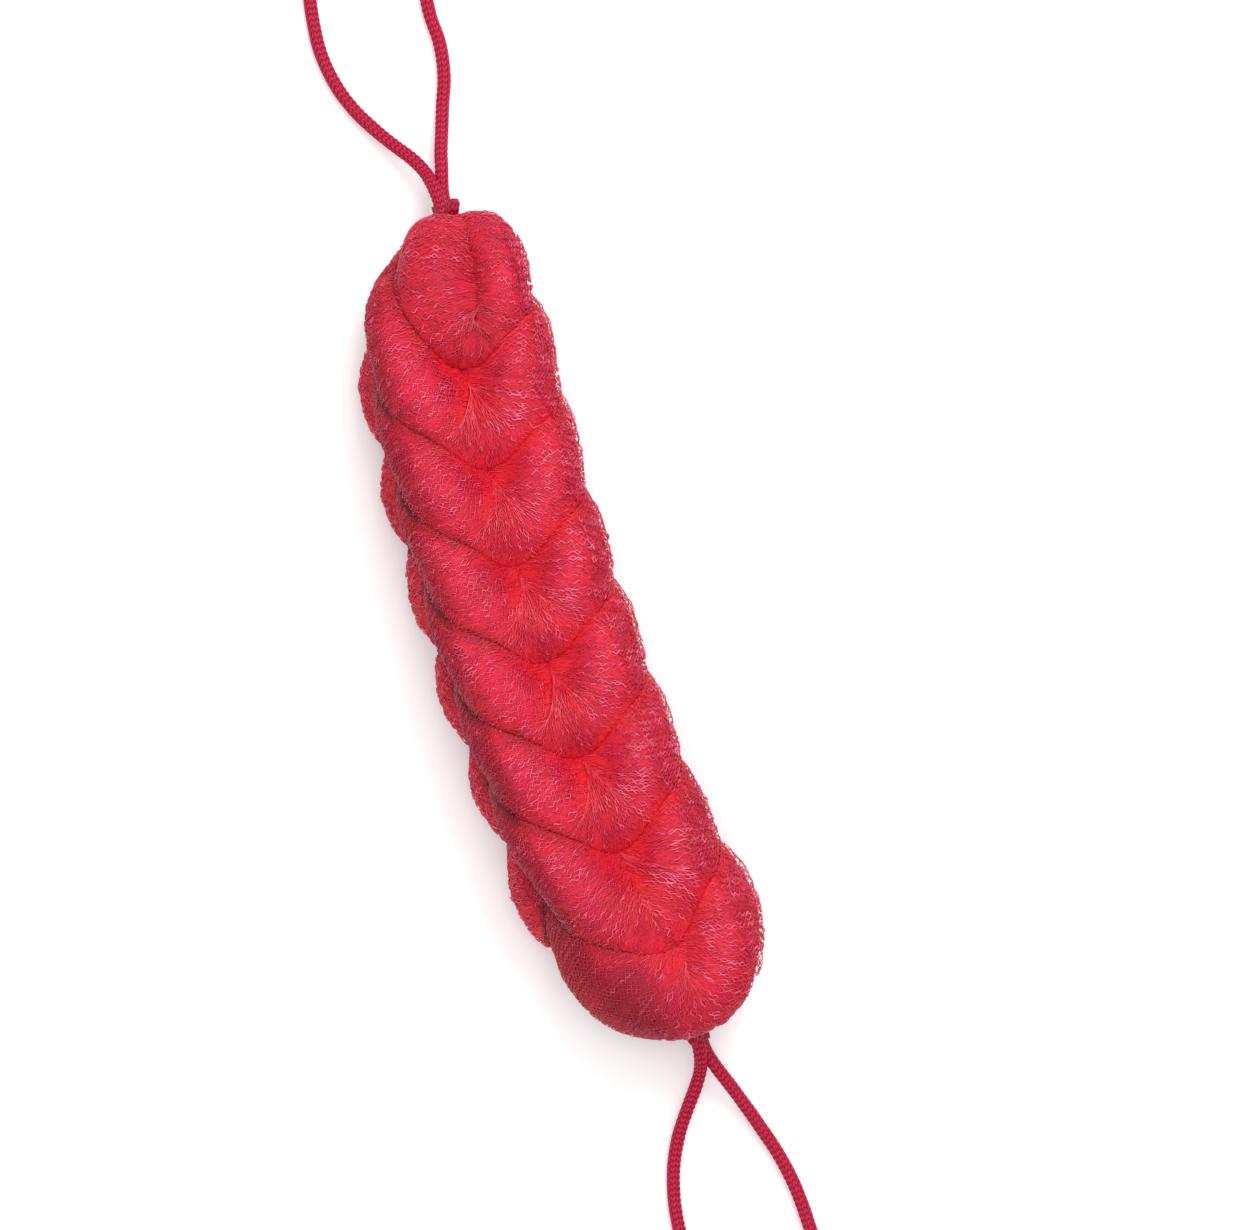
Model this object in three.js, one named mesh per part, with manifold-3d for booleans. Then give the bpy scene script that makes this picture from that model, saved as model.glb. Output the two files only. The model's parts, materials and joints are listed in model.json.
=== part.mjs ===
// Back scrubber with two rope handles.
//
// A long tube of netting is gathered into a fat soft strand and worked into a chain of eight
// loops, each loop pulled through the one before it. Every stitch is a tilted, three-lobed
// cushion: two arms of a V in front and one bump behind. A knitted cord comes out at each end as
// a hand loop: its two runs meet in a short neck, and a knot inside the last stitch holds them.
//
// Millimetres, +Z up. The scrubber lies on Z = 0, its long axis runs near X, and the origin is
// at the bottom centre of the box around everything but the two hand loops.

import * as THREE from 'three';
import { mergeVertices } from 'three/addons/utils/BufferGeometryUtils.js';
import Module from 'manifold-3d';

const wasm = await Module();
wasm.setup();

// ---------------------------------------------------------------- driving dimensions
const STITCH_COUNT = 8;
const PITCH = 35;                    // distance between stitches along the body
const AXIS_RADIUS = 920;             // the body lies in a slight arc
const AXIS_CROWN = new THREE.Vector2(30, 7.8);

const HALF_WIDTH_FIRST = 36.2;       // half width of stitch 1, at the -X end
const HALF_WIDTH_LAST = 33.2;        // half width of stitch 8, at the +X end
const HEIGHT_RATIO = 0.86;           // half height over half width
const TILT = THREE.MathUtils.degToRad(30);      // front edge towards -X
const ROLL = THREE.MathUtils.degToRad(12);      // the V face turns towards -Y
const LOBE_DEPTH = 0.055;            // how far the three lobes stand out and the valleys sink
const LEAN_TRIM = 0.93;              // takes off the height that the tilt and roll add

const CENTRE_GAP = 2.6;              // room between two stitches on the axis
const FACE_RADIUS = 140;             // dome of each face, so that neighbours can bend
const RIM_RADIUS = 9;                // rounding of the outer edge
const END_DOME = 26;                 // depth of the round end face of the first and last stitch
const SINK = 1.5;                    // how much the rest face flattens the round underside
const GROUND_CUT = new THREE.Vector3(800, 400, 40);  // larger than the body, so that it trims all of it

const CORD_DIAMETER = 5;
const CORD_FACETS = 10;
const KNOT_RADIUS = 6.5;
const KNOT_LENGTH_SHARE = 0.96;      // the knot is a little shorter than it is wide
const WAIST_DEPTH = 0.05;            // of the knot's three waists, as a share of its radius
const WAIST_TWIST = 0.35;            // how fast the waists wind round it, in radians per millimetre
const KNOT_ROOM = 7.3;               // radius of the pocket that the knot turns in
const MOUTH_ANGLE = THREE.MathUtils.degToRad(42);    // half angle of the cone the neck swings in
const MOUTH_BEHIND = 5;              // its point lies this far behind the knot's centre
const MOUTH_LENGTH = 31;
const NECK_HALF_WIDTH = 4.0;
const NECK_HALF_HEIGHT = 3.6;
const COLLAR_THICKNESS = 1.0;
const COLLAR_LENGTH = 4;
const COLLAR_FROM = THREE.MathUtils.degToRad(-25);
const COLLAR_TO = THREE.MathUtils.degToRad(155);
const BINDING_THICKNESS = 0.9;
const BINDING_LENGTH = 2;
const TAIL_RADIUS = 2;
const TAIL_START = 9.6;
const TAIL_LENGTH = 5;
const TAIL_OFFSETS = [-1, -2, -3.2]; // sideways at its root, middle and end
const TAIL_RISE = 0.4;               // the middle arches up by this
const CLEAR = 0.35;                  // gap between pieces that touch

// ---------------------------------------------------------------- materials
const meshRed = new THREE.MeshStandardMaterial({ color: 0xd8263c, roughness: 0.85, metalness: 0 });
const meshPink = new THREE.MeshStandardMaterial({ color: 0xdf3a60, roughness: 0.85, metalness: 0 });
const cordMagenta = new THREE.MeshStandardMaterial({ color: 0xc51a4f, roughness: 0.7, metalness: 0 });
const threadRed = new THREE.MeshStandardMaterial({ color: 0x9c1a30, roughness: 0.6, metalness: 0 });

// ---------------------------------------------------------------- booleans
function toSolid(geometry) {
  const bare = geometry.clone();
  bare.deleteAttribute('normal');
  bare.deleteAttribute('uv');
  const merged = mergeVertices(bare, 1e-4);
  const vertProperties = new Float32Array(merged.attributes.position.array);
  const triVerts = new Uint32Array(merged.index.array);
  return new wasm.Manifold(new wasm.Mesh({ numProp: 3, vertProperties, triVerts }));
}

function toGeometry(solid) {
  const mesh = solid.getMesh();
  const geometry = new THREE.BufferGeometry();
  geometry.setAttribute('position', new THREE.BufferAttribute(mesh.vertProperties, 3));
  geometry.setIndex(new THREE.BufferAttribute(mesh.triVerts, 1));
  geometry.computeVertexNormals();
  return geometry;
}

// ---------------------------------------------------------------- the body's axis
function axisY(x) {
  const fromCrown = x - AXIS_CROWN.x;
  return AXIS_CROWN.y - (fromCrown * fromCrown) / (2 * AXIS_RADIUS);
}

function axisHeading(x) {
  return -(x - AXIS_CROWN.x) / AXIS_RADIUS;
}

// ---------------------------------------------------------------- the stitches
// Half of a stitch's section, from the axis to the middle of the rim. The inner faces are
// shallow domes; an end face is half an ellipse.
function faceProfile(radius, halfThickness, isEnd) {
  const points = [];
  if (isEnd) {
    const steps = 8;
    for (let i = 0; i < steps; i += 1) {
      const angle = (Math.PI / 2) * (i / steps);
      points.push(new THREE.Vector2(radius * Math.sin(angle), END_DOME * Math.cos(angle)));
    }
    return points;
  }
  const shoulder = radius - RIM_RADIUS;
  const domeSteps = 4;
  for (let i = 0; i <= domeSteps; i += 1) {
    const r = shoulder * (i / domeSteps);
    points.push(new THREE.Vector2(r, halfThickness - (r * r) / (2 * FACE_RADIUS)));
  }
  const rimHeight = points[domeSteps].y;
  const rimSteps = 3;
  for (let i = 1; i < rimSteps; i += 1) {
    const angle = (Math.PI / 2) * (i / rimSteps);
    points.push(new THREE.Vector2(shoulder + RIM_RADIUS * Math.sin(angle), rimHeight * Math.cos(angle)));
  }
  return points;
}

// A disc about Y with its +Y face towards +X of the body.
function stitchDisc(radius, isFirst, isLast) {
  const halfThickness = (PITCH * Math.cos(TILT) - CENTRE_GAP) / 2;
  const plusFace = faceProfile(radius, halfThickness, isLast);
  const minusFace = faceProfile(radius, halfThickness, isFirst).map((p) => new THREE.Vector2(p.x, -p.y));
  const profile = [...minusFace, new THREE.Vector2(radius, 0), ...plusFace.reverse()];
  return new THREE.LatheGeometry(profile, 28);
}

// Two arms of the V at 60 degrees either side of the front, and the bump at the back.
function addLobes(geometry) {
  const position = geometry.attributes.position;
  for (let i = 0; i < position.count; i += 1) {
    const x = position.getX(i);
    const z = position.getZ(i);
    const fromFront = Math.atan2(x, z);
    const swell = 1 - LOBE_DEPTH * Math.cos(3 * fromFront);
    position.setX(i, x * swell);
    position.setZ(i, z * swell);
  }
}

function stitchFrame(x, centreHeight) {
  const frame = new THREE.Matrix4().makeTranslation(x, axisY(x), centreHeight);
  frame.multiply(new THREE.Matrix4().makeRotationZ(axisHeading(x)));
  frame.multiply(new THREE.Matrix4().makeRotationX(ROLL));
  frame.multiply(new THREE.Matrix4().makeRotationY(-TILT));
  return frame;
}

function groundCutter() {
  const cutter = new THREE.BoxGeometry(GROUND_CUT.x, GROUND_CUT.y, GROUND_CUT.z);
  cutter.translate(0, 0, -GROUND_CUT.z / 2);
  return cutter;
}

// The pocket for the knot and the mouth that the neck swings in.
function knotPocket(end) {
  const room = new THREE.SphereGeometry(KNOT_ROOM, 20, 14);
  room.applyMatrix4(end.frame);
  const mouth = new THREE.ConeGeometry(MOUTH_LENGTH * Math.tan(MOUTH_ANGLE), MOUTH_LENGTH, 24);
  mouth.rotateZ(Math.PI / 2);
  mouth.translate(MOUTH_LENGTH / 2 - MOUTH_BEHIND, 0, 0);
  mouth.applyMatrix4(end.frame);
  return toSolid(room).add(toSolid(mouth));
}

function buildStitch(number, ends) {
  const x = (number - (STITCH_COUNT + 1) / 2) * PITCH;
  const along = (number - 1) / (STITCH_COUNT - 1);
  const halfWidth = THREE.MathUtils.lerp(HALF_WIDTH_FIRST, HALF_WIDTH_LAST, along);
  const halfHeight = halfWidth * HEIGHT_RATIO;
  const isFirst = number === 1;
  const isLast = number === STITCH_COUNT;
  const disc = stitchDisc(halfWidth, isFirst, isLast);
  addLobes(disc);
  // The lathe's axis Y becomes the body's X, its X the body's -Y and its Z stays the front.
  disc.rotateZ(-Math.PI / 2);
  disc.scale(1, 1, LEAN_TRIM * halfHeight / (halfWidth * Math.cos(TILT)));
  disc.applyMatrix4(stitchFrame(x, halfHeight - SINK));
  let solid = toSolid(disc).subtract(toSolid(groundCutter()));
  if (isFirst) {
    solid = solid.subtract(knotPocket(ends.bottom));
  }
  if (isLast) {
    solid = solid.subtract(knotPocket(ends.top));
  }
  const mesh = new THREE.Mesh(toGeometry(solid), meshRed);
  mesh.name = `mesh_stitch_${number}`;
  return mesh;
}

// ---------------------------------------------------------------- the cord ends
// Each end's frame has its origin at the knot's centre and +X along the neck, outwards and down.
function endFrame(knotCentre, heading, drop) {
  const frame = new THREE.Matrix4().makeTranslation(knotCentre.x, knotCentre.y, knotCentre.z);
  frame.multiply(new THREE.Matrix4().makeRotationZ(heading));
  frame.multiply(new THREE.Matrix4().makeRotationY(drop));
  return frame;
}

const NECK_LENGTH = 22;              // from the knot's centre to the axis that the loop lifts on
const NECK_DROP = THREE.MathUtils.degToRad(16);

const TOP_KNOT = new THREE.Vector3(140.5, -5.6, 19.5);
const TOP_HEADING = THREE.MathUtils.degToRad(-2);
const BOTTOM_KNOT = new THREE.Vector3(-140, -9.7, 19.5);
const BOTTOM_HEADING = THREE.MathUtils.degToRad(180);

const ends = {
  top: { frame: endFrame(TOP_KNOT, TOP_HEADING, NECK_DROP) },
  bottom: { frame: endFrame(BOTTOM_KNOT, BOTTOM_HEADING, NECK_DROP) },
};

function placed(geometry, end, material, name) {
  geometry.applyMatrix4(end.frame);
  const mesh = new THREE.Mesh(geometry, material);
  mesh.name = name;
  return mesh;
}

// An overhand knot in the doubled cord: a ball with three soft waists.
function buildKnot(end, name) {
  const ball = new THREE.SphereGeometry(KNOT_RADIUS, 18, 12);
  const position = ball.attributes.position;
  const point = new THREE.Vector3();
  for (let i = 0; i < position.count; i += 1) {
    point.fromBufferAttribute(position, i);
    const turn = Math.atan2(point.z, point.y);
    const waist = 1 - WAIST_DEPTH * (1 + Math.cos(3 * turn + point.x * WAIST_TWIST));
    position.setXYZ(i, point.x * KNOT_LENGTH_SHARE, point.y * waist, point.z * waist);
  }
  return placed(ball, end, cordMagenta, name);
}

function ellipseShape(halfWidth, halfHeight, segments) {
  const shape = new THREE.Shape();
  shape.absellipse(0, 0, halfWidth, halfHeight, 0, Math.PI * 2);
  return new THREE.Shape(shape.getSpacedPoints(segments).slice(0, -1));
}

// The extrusion runs along +X of the end's frame, with the shape's x across and y up.
function alongNeck(shape, start, length) {
  const geometry = new THREE.ExtrudeGeometry(shape, { depth: length, bevelEnabled: false });
  geometry.rotateY(Math.PI / 2);
  geometry.rotateX(Math.PI / 2);
  geometry.translate(start, 0, 0);
  return geometry;
}

// Two runs of cord side by side, ending in a round nose on the axis that the loop lifts on.
function buildNeck(end, name) {
  const start = KNOT_RADIUS + CLEAR;
  const straight = alongNeck(ellipseShape(NECK_HALF_WIDTH, NECK_HALF_HEIGHT, 16), start, NECK_LENGTH - start);
  const nose = new THREE.SphereGeometry(1, 16, 10);
  nose.scale(NECK_HALF_HEIGHT, NECK_HALF_WIDTH, NECK_HALF_HEIGHT);
  nose.translate(NECK_LENGTH, 0, 0);
  const solid = toSolid(straight).add(toSolid(nose));
  return placed(toGeometry(solid), end, cordMagenta, name);
}

// The sewing thread wound round the neck, next to the knot.
function buildBinding(end, name) {
  const outer = ellipseShape(
    NECK_HALF_WIDTH + CLEAR + BINDING_THICKNESS, NECK_HALF_HEIGHT + CLEAR + BINDING_THICKNESS, 18);
  outer.holes.push(ellipseShape(NECK_HALF_WIDTH + CLEAR, NECK_HALF_HEIGHT + CLEAR, 18));
  const start = KNOT_RADIUS + 2 * CLEAR;
  return placed(alongNeck(outer, start, BINDING_LENGTH), end, threadRed, name);
}

// The netting's gathered end, a tab that wraps the upper side of the neck where it comes out.
function buildCollar(end, name) {
  const inner = NECK_HALF_WIDTH + CLEAR;
  const outer = inner + COLLAR_THICKNESS;
  const shape = new THREE.Shape();
  shape.absarc(0, 0, outer, COLLAR_FROM, COLLAR_TO, false);
  shape.absarc(0, 0, inner, COLLAR_TO, COLLAR_FROM, true);
  const start = KNOT_RADIUS + 3 * CLEAR + BINDING_LENGTH;
  const geometry = alongNeck(new THREE.Shape(shape.getPoints(8)), start, COLLAR_LENGTH);
  return placed(geometry, end, meshPink, name);
}

// A tube of the cord's diameter along a curve.
function tube(points, radius, step) {
  const curve = new THREE.CatmullRomCurve3(points, false, 'centripetal');
  const steps = Math.ceil(curve.getLength() / step);
  const section = new THREE.Shape();
  for (let i = 0; i < CORD_FACETS; i += 1) {
    const angle = (2 * Math.PI * i) / CORD_FACETS;
    section.lineTo(radius * Math.cos(angle), radius * Math.sin(angle));
  }
  return new THREE.ExtrudeGeometry(section, { steps, bevelEnabled: false, extrudePath: curve });
}

// The cord's cut end, turned back over the neck and held by the netting.
function buildTail(end, name) {
  const height = NECK_HALF_HEIGHT + COLLAR_THICKNESS + TAIL_RADIUS + 2 * CLEAR;
  const points = [
    new THREE.Vector3(TAIL_START, TAIL_OFFSETS[0], height),
    new THREE.Vector3(TAIL_START + TAIL_LENGTH / 2, TAIL_OFFSETS[1], height + TAIL_RISE),
    new THREE.Vector3(TAIL_START + TAIL_LENGTH, TAIL_OFFSETS[2], height),
  ];
  return placed(tube(points, TAIL_RADIUS, TAIL_LENGTH / 2), end, cordMagenta, name);
}

// ---------------------------------------------------------------- the hand loops
// Both lie flat once they have come down from the neck: x, y, z of the cord's centre.
const CORD_FLAT = 2.6;
const LOOP_STEP = 10;                // between the sections of a loop's tube
const TOP_LOOP = [
  [167.1, -3.4, 11.4], [173, -0.6, 9.2], [180, 4.4, 6.6], [188, 9.8, 4.4], [197, 14.9, 3.0],
  [207.5, 18.7, CORD_FLAT], [219, 20.5, CORD_FLAT], [231, 20.0, CORD_FLAT], [243, 18.0, CORD_FLAT],
  [255, 14.6, CORD_FLAT], [266, 9.2, CORD_FLAT], [274, 1.6, CORD_FLAT], [277, -7.6, CORD_FLAT],
  [274.4, -17, CORD_FLAT], [266.4, -24, CORD_FLAT], [255.5, -26.4, CORD_FLAT],
  [244, -25, CORD_FLAT], [233, -21.8, CORD_FLAT], [222, -20.6, CORD_FLAT], [211, -21, CORD_FLAT],
  [200, -19.4, 2.9], [190, -16, 4.0], [180, -12.8, 6.6], [172.4, -10.4, 9.4], [167.1, -9.2, 11.4],
];
const BOTTOM_LOOP = [
  [-164.9, -6.8, 11.4], [-170.4, -3.4, 9.4], [-177, 1.4, 7.0], [-185, 6.8, 4.6], [-195, 11.6, 3.0],
  [-206, 14.8, CORD_FLAT], [-217.5, 16.3, CORD_FLAT], [-229, 16.4, CORD_FLAT],
  [-241, 15.2, CORD_FLAT], [-252.6, 12, CORD_FLAT], [-262.4, 6, CORD_FLAT], [-268.4, -2.6, CORD_FLAT],
  [-268.6, -12.6, CORD_FLAT], [-263, -21, CORD_FLAT], [-253.6, -26.4, CORD_FLAT],
  [-242, -28.4, CORD_FLAT], [-229, -28.4, CORD_FLAT], [-215.6, -27.6, CORD_FLAT],
  [-202.4, -25.2, 2.9], [-190, -21.4, 4.2], [-178, -17.4, 6.8], [-170.4, -14.6, 9.4],
  [-164.9, -12.6, 11.4],
];

function buildLoop(route, name) {
  const points = route.map(([x, y, z]) => new THREE.Vector3(x, y, z));
  const mesh = new THREE.Mesh(tube(points, CORD_DIAMETER / 2, LOOP_STEP), cordMagenta);
  mesh.name = name;
  return mesh;
}

// ---------------------------------------------------------------- assembly
const scrubber = new THREE.Group();
for (let number = 1; number <= STITCH_COUNT; number += 1) {
  scrubber.add(buildStitch(number, ends));
}
for (const [place, end] of Object.entries(ends)) {
  scrubber.add(buildKnot(end, `stopper_knot_${place}`));
  scrubber.add(buildNeck(end, `cord_neck_${place}`));
  scrubber.add(buildBinding(end, `binding_thread_${place}`));
  scrubber.add(buildCollar(end, `mesh_collar_${place}`));
  scrubber.add(buildTail(end, `cord_tail_${place}`));
}
scrubber.add(buildLoop(TOP_LOOP, 'handle_loop_top'));
scrubber.add(buildLoop(BOTTOM_LOOP, 'handle_loop_bottom'));

export default scrubber;
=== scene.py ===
"""A back scrubber: a chain-stitched body of gathered netting with a cord hand loop at each end.

Lengths are millimetres until a mesh is made, and metres in Blender. The body's axis, the stitch
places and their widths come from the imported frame; the cord routes repeat the CAD part's points.
"""

import json
import math

import bpy
import numpy as np
from mathutils import Matrix, Vector

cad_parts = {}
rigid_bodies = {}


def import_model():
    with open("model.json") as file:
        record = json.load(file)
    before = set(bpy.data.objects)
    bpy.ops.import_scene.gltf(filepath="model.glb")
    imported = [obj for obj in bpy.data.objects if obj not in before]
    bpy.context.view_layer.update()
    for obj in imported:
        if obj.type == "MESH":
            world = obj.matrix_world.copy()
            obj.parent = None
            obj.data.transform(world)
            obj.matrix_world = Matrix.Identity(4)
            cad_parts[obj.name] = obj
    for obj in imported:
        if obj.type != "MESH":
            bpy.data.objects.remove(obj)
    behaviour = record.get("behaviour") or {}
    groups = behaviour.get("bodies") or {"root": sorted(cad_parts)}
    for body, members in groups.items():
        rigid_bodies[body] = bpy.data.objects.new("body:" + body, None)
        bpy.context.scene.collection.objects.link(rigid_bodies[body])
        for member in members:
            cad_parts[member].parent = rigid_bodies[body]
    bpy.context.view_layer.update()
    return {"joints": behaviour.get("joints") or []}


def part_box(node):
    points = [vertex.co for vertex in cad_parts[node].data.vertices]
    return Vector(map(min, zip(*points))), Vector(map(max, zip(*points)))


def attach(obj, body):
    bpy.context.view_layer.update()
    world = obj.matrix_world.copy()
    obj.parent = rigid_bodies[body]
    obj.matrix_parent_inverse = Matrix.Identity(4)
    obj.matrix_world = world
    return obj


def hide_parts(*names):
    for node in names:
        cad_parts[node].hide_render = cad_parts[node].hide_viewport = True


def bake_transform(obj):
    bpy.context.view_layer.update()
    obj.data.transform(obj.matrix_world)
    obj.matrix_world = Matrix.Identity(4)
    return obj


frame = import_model()

MM = 0.001
STITCHES = 8

# ------------------------------------------------------------------ camera and light
VIEW_LEAN = math.radians(16.4)        # the picture's up is this far from +X, towards -Y
VIEW_CENTRE = Vector((-0.0022, -0.0255, 0.03))
VIEW_WIDTH = 0.4347                   # what the picture's width takes in at that height
VIEW_DISTANCE = 1.7
SENSOR = 36.0


def make_camera():
    data = bpy.data.cameras.new("camera")
    data.sensor_width = SENSOR
    data.lens = SENSOR * VIEW_DISTANCE / VIEW_WIDTH
    data.clip_start = 0.05
    data.clip_end = 20
    camera = bpy.data.objects.new("camera", data)
    bpy.context.scene.collection.objects.link(camera)
    up = Vector((math.cos(VIEW_LEAN), -math.sin(VIEW_LEAN), 0))
    back = Vector((0, 0, 1))
    right = up.cross(back)
    turn = Matrix((right, up, back)).transposed().to_4x4()
    camera.matrix_world = Matrix.Translation(VIEW_CENTRE + back * VIEW_DISTANCE) @ turn
    bpy.context.scene.camera = camera


def add_area_light(name, place, size, power, colour):
    data = bpy.data.lights.new(name, "AREA")
    data.shape = "DISK"
    data.size = size
    data.energy = power
    data.color = colour
    light = bpy.data.objects.new(name, data)
    bpy.context.scene.collection.objects.link(light)
    light.location = place
    light.rotation_mode = "QUATERNION"
    light.rotation_quaternion = (Vector((0, 0, 0)) - Vector(place)).to_track_quat("-Z", "Y")


def make_lights():
    add_area_light("key", (0.8, -0.7, 1.4), 0.9, 15, (1.0, 0.98, 0.97))
    add_area_light("fill", (-0.5, 1.0, 1.1), 1.4, 2, (0.97, 0.98, 1.0))
    add_area_light("top", (0.1, -0.1, 1.9), 0.9, 10, (1.0, 1.0, 1.0))
    world = bpy.data.worlds.new("studio")
    world.use_nodes = True
    background = world.node_tree.nodes["Background"]
    background.inputs["Color"].default_value = (1.0, 1.0, 1.0, 1.0)
    background.inputs["Strength"].default_value = 0.85
    bpy.context.scene.world = world
    bpy.context.scene.view_settings.view_transform = "Standard"


# ------------------------------------------------------------------ curves and tubes
def spline(points, step):
    """A centripetal Catmull-Rom curve through the points, as points about step apart."""
    points = np.array(points, float)
    ends = [2 * points[0] - points[1], 2 * points[-1] - points[-2]]
    guide = np.vstack([ends[0], points, ends[1]])
    dense = []
    t = np.linspace(0, 1, 40, endpoint=False)[:, None]
    for i in range(len(points) - 1):
        p = guide[i:i + 4]
        gaps = np.linalg.norm(np.diff(p[:, :3], axis=0), axis=1)
        knots = np.concatenate([[0], np.cumsum(gaps ** 0.5)])
        at = knots[1] + t * (knots[2] - knots[1])
        dense.append(barry_goldman(p, knots, at))
    dense.append(points[-1:])
    return respaced(np.vstack(dense), step)


def barry_goldman(p, knots, at):
    level = [p[i] for i in range(4)]
    for width in (1, 2):
        level = [
            ((knots[i + width] - at) * level[i] + (at - knots[i]) * level[i + 1])
            / (knots[i + width] - knots[i])
            for i in range(len(level) - 1)
        ]
    return ((knots[2] - at) * level[0] + (at - knots[1]) * level[1]) / (knots[2] - knots[1])


def respaced(line, step):
    along = arc_lengths(line)
    count = max(2, int(round(along[-1] / step)) + 1)
    at = np.linspace(0, along[-1], count)
    return np.stack([np.interp(at, along, line[:, k]) for k in range(line.shape[1])], axis=1)


def arc_lengths(line):
    return np.concatenate([[0], np.cumsum(np.linalg.norm(np.diff(line[:, :3], axis=0), axis=1))])


def unit(v):
    return v / np.linalg.norm(v, axis=-1, keepdims=True)


def carried_frames(line, first_side):
    """Tangents, and two sides that turn with the line as little as they can."""
    tangent = unit(np.gradient(line, axis=0))
    side = np.zeros_like(line)
    current = np.array(first_side, float)
    for i, t in enumerate(tangent):
        current = current - t * (current @ t)
        current /= np.linalg.norm(current)
        side[i] = current
    return tangent, side, np.cross(tangent, side)


def ring_directions(turn, side, across):
    """For each place on a line, the directions out of it at each turn."""
    cos, sin = np.cos(turn)[None, :, None], np.sin(turn)[None, :, None]
    return cos * side[:, None, :] + sin * across[:, None, :]


def tube_faces(rows, columns):
    """Quads over a grid whose columns close into a ring, and triangles that close its first and
    last rows round two poles, which are the two points after the grid's."""
    i = np.arange(rows - 1)[:, None] * columns
    j = np.arange(columns)
    k = (j + 1) % columns
    quads = np.stack([i + j, i + k, i + columns + k, i + columns + j], axis=-1)
    last = (rows - 1) * columns
    pole = np.full(columns, rows * columns)
    start = np.stack([k, j, pole], axis=1)
    end = np.stack([last + j, last + k, pole + 1], axis=1)
    return [quads.reshape(-1, 4), np.vstack([start, end])]


def seamless_places(along, columns, radius):
    """Along a tube and round it, as places in a material's space that has no seam."""
    turn = np.arange(columns) / columns * 2 * math.pi
    shape = (len(along), columns)
    x = np.broadcast_to(along[:, None], shape)
    y = np.broadcast_to(np.cos(turn) * radius, shape)
    z = np.broadcast_to(np.sin(turn) * radius, shape)
    return np.stack([x, y, z], axis=-1).reshape(-1, 3)


def with_first_and_last(values):
    """The values, and once more the first and the last, for a tube's two poles."""
    return np.vstack([values, values[:1], values[-1:]])


class Shell:
    """Points, faces and attributes that are gathered into one mesh."""

    def __init__(self):
        self.points = []
        self.faces = []
        self.marks = {}
        self.slots = []
        self.count = 0

    def add(self, points, face_sets, slot=0, **marks):
        self.points.append(points)
        for faces in face_sets:
            self.faces.append(faces + self.count)
            self.slots.append(np.full(len(faces), slot))
        for name, values in marks.items():
            self.marks.setdefault(name, []).append(values)
        self.count += len(points)

    def mesh(self, name, materials):
        mesh = bpy.data.meshes.new(name)
        points = np.vstack(self.points) * MM
        corners = np.concatenate([f.ravel() for f in self.faces]).astype(np.int32)
        totals = np.concatenate([np.full(len(f), f.shape[1]) for f in self.faces]).astype(np.int32)
        starts = np.concatenate([[0], np.cumsum(totals)[:-1]]).astype(np.int32)
        mesh.vertices.add(len(points))
        mesh.vertices.foreach_set("co", points.astype(np.float32).ravel())
        mesh.loops.add(len(corners))
        mesh.loops.foreach_set("vertex_index", corners)
        mesh.polygons.add(len(totals))
        mesh.polygons.foreach_set("loop_start", starts)
        mesh.polygons.foreach_set("loop_total", totals)
        mesh.polygons.foreach_set("material_index", np.concatenate(self.slots).astype(np.int32))
        mesh.polygons.foreach_set("use_smooth", np.ones(len(totals), bool))
        for mark, values in self.marks.items():
            stacked = np.concatenate(values)
            kind, field = ("FLOAT", "value") if stacked.ndim == 1 else ("FLOAT_VECTOR", "vector")
            attribute = mesh.attributes.new(mark, kind, "POINT")
            attribute.data.foreach_set(field, stacked.astype(np.float32).ravel())
        for material in materials:
            mesh.materials.append(material)
        mesh.update(calc_edges=True)
        mesh.validate()
        piece = bpy.data.objects.new(name, mesh)
        bpy.context.scene.collection.objects.link(piece)
        return piece


def between(value, low, high):
    """0 at low and 1 at high, straight in between and flat beyond; low may be the larger one."""
    return np.clip((value - low) / (high - low), 0, 1)


# ------------------------------------------------------------------ repeatable noise
def ring_noise(rng, rows, columns, row_cells, column_cells):
    """Smooth noise from -1 to 1 over a grid whose columns close into a ring."""
    values = rng.uniform(-1, 1, (row_cells + 2, column_cells))
    r = np.linspace(0, row_cells, rows)
    c = np.arange(columns) / columns * column_cells
    r0 = np.floor(r).astype(int)
    c0 = np.floor(c).astype(int)
    fr = ease(r - r0)[:, None]
    fc = ease(c - c0)[None, :]
    c1 = (c0 + 1) % column_cells
    low = values[r0][:, c0] * (1 - fc) + values[r0][:, c1] * fc
    high = values[r0 + 1][:, c0] * (1 - fc) + values[r0 + 1][:, c1] * fc
    return low * (1 - fr) + high * fr


def ease(t):
    return t * t * (3 - 2 * t)


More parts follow.
